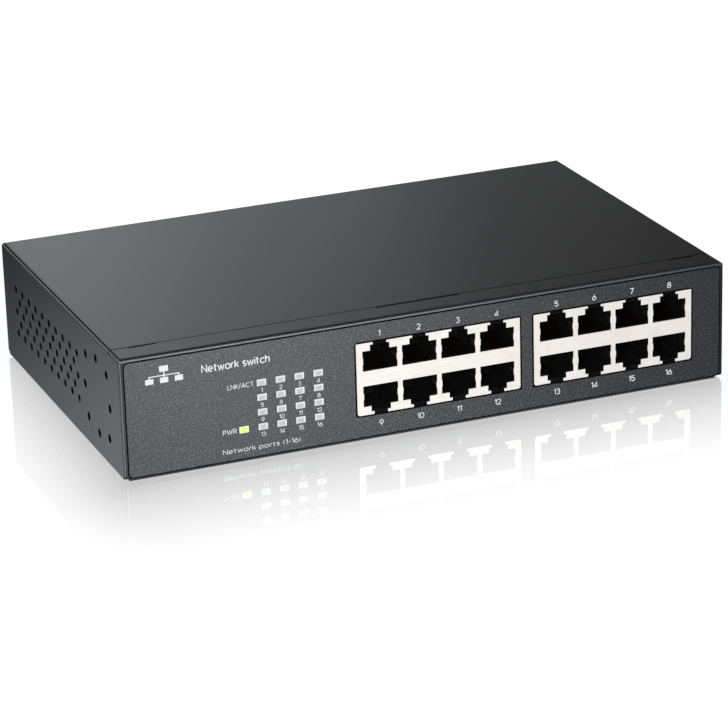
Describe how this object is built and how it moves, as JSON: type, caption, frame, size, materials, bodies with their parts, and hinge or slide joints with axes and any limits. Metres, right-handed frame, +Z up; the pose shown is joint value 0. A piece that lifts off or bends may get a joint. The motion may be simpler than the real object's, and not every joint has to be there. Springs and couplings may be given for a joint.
{
  "type": "desktop network switch",
  "caption": "Low black steel desktop network switch with two rows of jacks, a grid of link lights and vented sides.",
  "frame": {"origin": "bottom centre of the whole part, on the surface the rubber feet stand on", "axes": "+X along the front to the right as seen from the front, +Y from the front panel to the rear, +Z up"},
  "size_m": [0.215, 0.133, 0.042],
  "materials": {
    "case_paint": "satin",
    "film_print": "matte",
    "shield_plate": "satin",
    "jack_plastic": "matte",
    "contact_gold": "polished",
    "light_guide": "satin",
    "power_guide": "satin",
    "led_white": "gloss",
    "board_green": "satin",
    "zinc_steel": "satin",
    "chip_black": "matte",
    "bare_aluminium": "satin",
    "can_metal": "satin",
    "capacitor_sleeve": "gloss",
    "socket_ivory": "matte",
    "board_tan": "satin",
    "insulator_film": "gloss",
    "winding_tape": "satin",
    "copper_winding": "satin",
    "fuse_glass": "gloss",
    "inlet_plastic": "satin",
    "plated_brass": "satin",
    "wire_brown": "satin",
    "wire_green": "satin",
    "wire_red": "satin",
    "black_screw": "satin",
    "foot_rubber": "matte",
    "label_blank": "satin"
  },
  "bodies": {
    "case": {"chassis_base": "case_paint", "top_cover": "case_paint", "front_overlay": "film_print", "jack_shield_left": "shield_plate", "jack_shield_right": "shield_plate", "jack_housing_left": "jack_plastic", "jack_housing_right": "jack_plastic", "link_light_pipes": "light_guide", "power_light_pipe": "power_guide", "led_chips": "led_white", "main_board": "board_green", "board_standoffs": "zinc_steel", "board_screws": "zinc_steel", "switch_chip": "chip_black", "heatsink": "bare_aluminium", "phy_chips": "chip_black", "magnetics": "chip_black", "flash_chip": "chip_black", "crystal": "can_metal", "board_capacitors": "capacitor_sleeve", "dc_socket": "socket_ivory", "psu_board": "board_tan", "psu_insulator": "insulator_film", "psu_transformer": "winding_tape", "psu_bulk_capacitor": "capacitor_sleeve", "psu_output_capacitors": "capacitor_sleeve", "psu_choke": "copper_winding", "psu_fuse": "fuse_glass", "psu_heatsink": "bare_aluminium", "psu_ac_socket": "socket_ivory", "ac_inlet": "inlet_plastic", "inlet_pins": "plated_brass", "inlet_screws": "zinc_steel", "ac_wires": "wire_brown", "ground_wire": "wire_green", "ring_terminal": "plated_brass", "ground_nut": "zinc_steel", "dc_cable": "wire_red", "cover_screws": "black_screw", "rubber_feet": "foot_rubber", "rating_label": "label_blank"},
    "contacts_01": {"port_contacts_01": "contact_gold"},
    "contacts_02": {"port_contacts_02": "contact_gold"},
    "contacts_03": {"port_contacts_03": "contact_gold"},
    "contacts_04": {"port_contacts_04": "contact_gold"},
    "contacts_05": {"port_contacts_05": "contact_gold"},
    "contacts_06": {"port_contacts_06": "contact_gold"},
    "contacts_07": {"port_contacts_07": "contact_gold"},
    "contacts_08": {"port_contacts_08": "contact_gold"},
    "contacts_09": {"port_contacts_09": "contact_gold"},
    "contacts_10": {"port_contacts_10": "contact_gold"},
    "contacts_11": {"port_contacts_11": "contact_gold"},
    "contacts_12": {"port_contacts_12": "contact_gold"},
    "contacts_13": {"port_contacts_13": "contact_gold"},
    "contacts_14": {"port_contacts_14": "contact_gold"},
    "contacts_15": {"port_contacts_15": "contact_gold"},
    "contacts_16": {"port_contacts_16": "contact_gold"}
  },
  "joints": [
    {"name": "press_01", "type": "hinge", "parent": "case", "child": "contacts_01", "pos_m": [-0.01855, -0.0635, 0.02395], "axis": [-1, 0, 0], "range_deg": [0, 12], "stiffness_Nm_per_rad": 0.3},
    {"name": "press_02", "type": "hinge", "parent": "case", "child": "contacts_02", "pos_m": [-0.00458, -0.0635, 0.02395], "axis": [-1, 0, 0], "range_deg": [0, 12], "stiffness_Nm_per_rad": 0.3},
    {"name": "press_03", "type": "hinge", "parent": "case", "child": "contacts_03", "pos_m": [0.00938, -0.0635, 0.02395], "axis": [-1, 0, 0], "range_deg": [0, 12], "stiffness_Nm_per_rad": 0.3},
    {"name": "press_04", "type": "hinge", "parent": "case", "child": "contacts_04", "pos_m": [0.02336, -0.0635, 0.02395], "axis": [-1, 0, 0], "range_deg": [0, 12], "stiffness_Nm_per_rad": 0.3},
    {"name": "press_05", "type": "hinge", "parent": "case", "child": "contacts_05", "pos_m": [0.0451, -0.0635, 0.02395], "axis": [-1, 0, 0], "range_deg": [0, 12], "stiffness_Nm_per_rad": 0.3},
    {"name": "press_06", "type": "hinge", "parent": "case", "child": "contacts_06", "pos_m": [0.05906, -0.0635, 0.02395], "axis": [-1, 0, 0], "range_deg": [0, 12], "stiffness_Nm_per_rad": 0.3},
    {"name": "press_07", "type": "hinge", "parent": "case", "child": "contacts_07", "pos_m": [0.07304, -0.0635, 0.02395], "axis": [-1, 0, 0], "range_deg": [0, 12], "stiffness_Nm_per_rad": 0.3},
    {"name": "press_08", "type": "hinge", "parent": "case", "child": "contacts_08", "pos_m": [0.087, -0.0635, 0.02395], "axis": [-1, 0, 0], "range_deg": [0, 12], "stiffness_Nm_per_rad": 0.3},
    {"name": "press_09", "type": "hinge", "parent": "case", "child": "contacts_09", "pos_m": [-0.01855, -0.0635, 0.01965], "axis": [1, 0, 0], "range_deg": [0, 12], "stiffness_Nm_per_rad": 0.3},
    {"name": "press_10", "type": "hinge", "parent": "case", "child": "contacts_10", "pos_m": [-0.00458, -0.0635, 0.01965], "axis": [1, 0, 0], "range_deg": [0, 12], "stiffness_Nm_per_rad": 0.3},
    {"name": "press_11", "type": "hinge", "parent": "case", "child": "contacts_11", "pos_m": [0.00938, -0.0635, 0.01965], "axis": [1, 0, 0], "range_deg": [0, 12], "stiffness_Nm_per_rad": 0.3},
    {"name": "press_12", "type": "hinge", "parent": "case", "child": "contacts_12", "pos_m": [0.02336, -0.0635, 0.01965], "axis": [1, 0, 0], "range_deg": [0, 12], "stiffness_Nm_per_rad": 0.3},
    {"name": "press_13", "type": "hinge", "parent": "case", "child": "contacts_13", "pos_m": [0.0451, -0.0635, 0.01965], "axis": [1, 0, 0], "range_deg": [0, 12], "stiffness_Nm_per_rad": 0.3},
    {"name": "press_14", "type": "hinge", "parent": "case", "child": "contacts_14", "pos_m": [0.05906, -0.0635, 0.01965], "axis": [1, 0, 0], "range_deg": [0, 12], "stiffness_Nm_per_rad": 0.3},
    {"name": "press_15", "type": "hinge", "parent": "case", "child": "contacts_15", "pos_m": [0.07304, -0.0635, 0.01965], "axis": [1, 0, 0], "range_deg": [0, 12], "stiffness_Nm_per_rad": 0.3},
    {"name": "press_16", "type": "hinge", "parent": "case", "child": "contacts_16", "pos_m": [0.087, -0.0635, 0.01965], "axis": [1, 0, 0], "range_deg": [0, 12], "stiffness_Nm_per_rad": 0.3}
  ]
}
